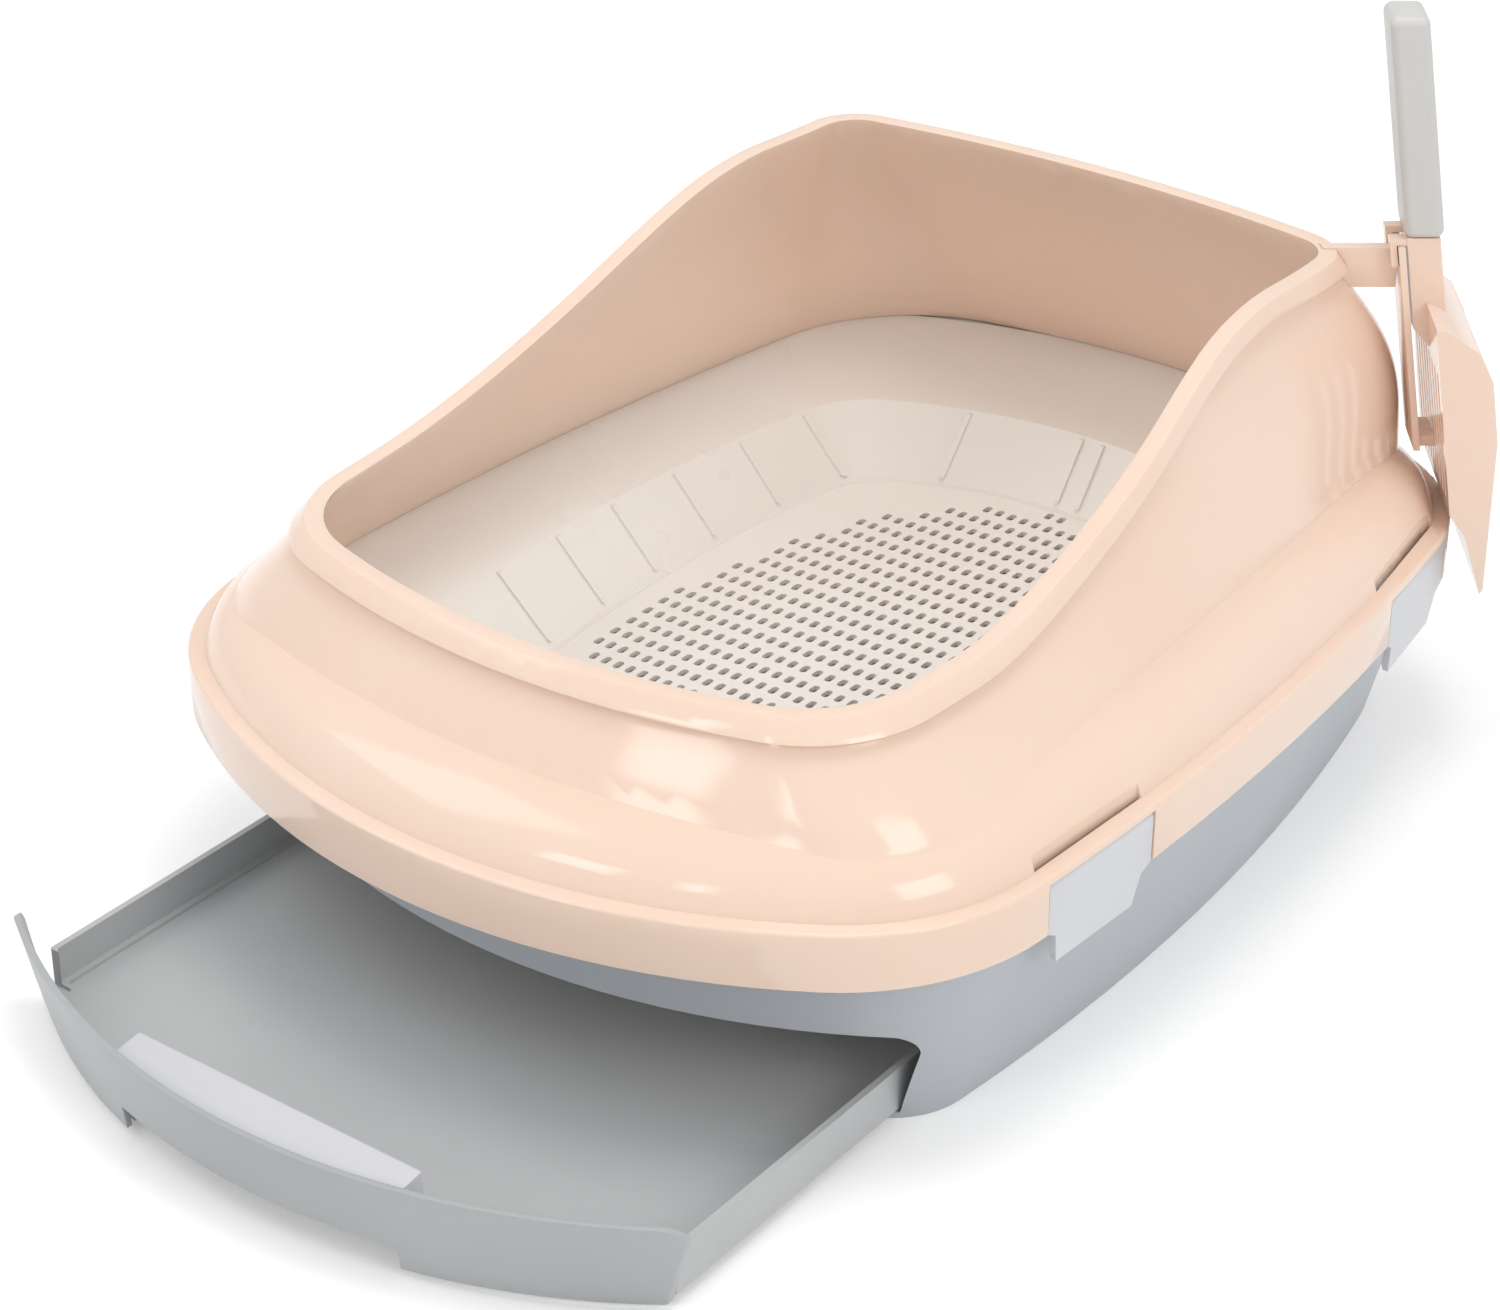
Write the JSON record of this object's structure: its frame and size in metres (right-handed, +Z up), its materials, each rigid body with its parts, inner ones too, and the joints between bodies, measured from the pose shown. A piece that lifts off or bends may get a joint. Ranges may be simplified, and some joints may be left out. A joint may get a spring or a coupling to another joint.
{
  "type": "litter box",
  "caption": "Litter box with a sieve pan over a pull-out drawer, a high-backed clip-on shroud and a scoop hung at a rear corner.",
  "frame": {"origin": "on the floor, under the middle of the shroud's band", "axes": "+X to the right seen from the front, +Y to the back, +Z up"},
  "size_m": [0.436, 0.6887, 0.353],
  "materials": {
    "base_grey": "satin polypropylene",
    "drawer_grey": "satin polypropylene",
    "grip_grey": "satin polypropylene",
    "pan_white": "satin polypropylene",
    "sieve_white": "satin polypropylene",
    "shroud_peach": "polished polypropylene",
    "latch_grey": "satin acetal",
    "handle_grey": "satin polypropylene"
  },
  "bodies": {
    "base": {"base_tub": "base_grey"},
    "drawer": {"drawer_tray": "drawer_grey", "drawer_front": "drawer_grey", "grip_cover": "grip_grey"},
    "pan": {"litter_pan": "pan_white", "sieve_plate": "sieve_white"},
    "shroud": {"shroud": "shroud_peach", "scoop_holder": "shroud_peach"},
    "scoop": {"scoop_blade": "shroud_peach", "scoop_handle": "handle_grey"},
    "latch_front_right": {"latch_front_right": "latch_grey"},
    "latch_front_left": {"latch_front_left": "latch_grey"},
    "latch_rear_right": {"latch_rear_right": "latch_grey"},
    "latch_rear_left": {"latch_rear_left": "latch_grey"}
  },
  "joints": [
    {"name": "drawer_slide", "type": "slide", "parent": "base", "child": "drawer", "axis": [0, 1, 0], "range_m": [-0.05, 0.15]},
    {"name": "pan_lift", "type": "slide", "parent": "base", "child": "pan", "axis": [0, 0, 1], "range_m": [0, 0.15]},
    {"name": "shroud_lift", "type": "slide", "parent": "pan", "child": "shroud", "axis": [0, 0, 1], "range_m": [0, 0.15]},
    {"name": "latch_front_right_hinge", "type": "hinge", "parent": "shroud", "child": "latch_front_right", "pos_m": [0.21201, -0.12178, 0.11], "axis": [-0.0576, -0.9983, 0], "range_deg": [0, 90]},
    {"name": "latch_front_left_hinge", "type": "hinge", "parent": "shroud", "child": "latch_front_left", "pos_m": [-0.21201, -0.12178, 0.11], "axis": [-0.0576, 0.9983, 0], "range_deg": [0, 90]},
    {"name": "latch_rear_right_hinge", "type": "hinge", "parent": "shroud", "child": "latch_rear_right", "pos_m": [0.20124, 0.16045, 0.11], "axis": [0.1461, -0.9893, 0], "range_deg": [0, 50]},
    {"name": "latch_rear_left_hinge", "type": "hinge", "parent": "shroud", "child": "latch_rear_left", "pos_m": [-0.20124, 0.16045, 0.11], "axis": [0.1461, 0.9893, 0], "range_deg": [0, 90]},
    {"name": "scoop_lift", "type": "slide", "parent": "shroud", "child": "scoop", "axis": [-0.1223, -0.0922, 0.9882], "range_m": [0, 0.15]}
  ]
}
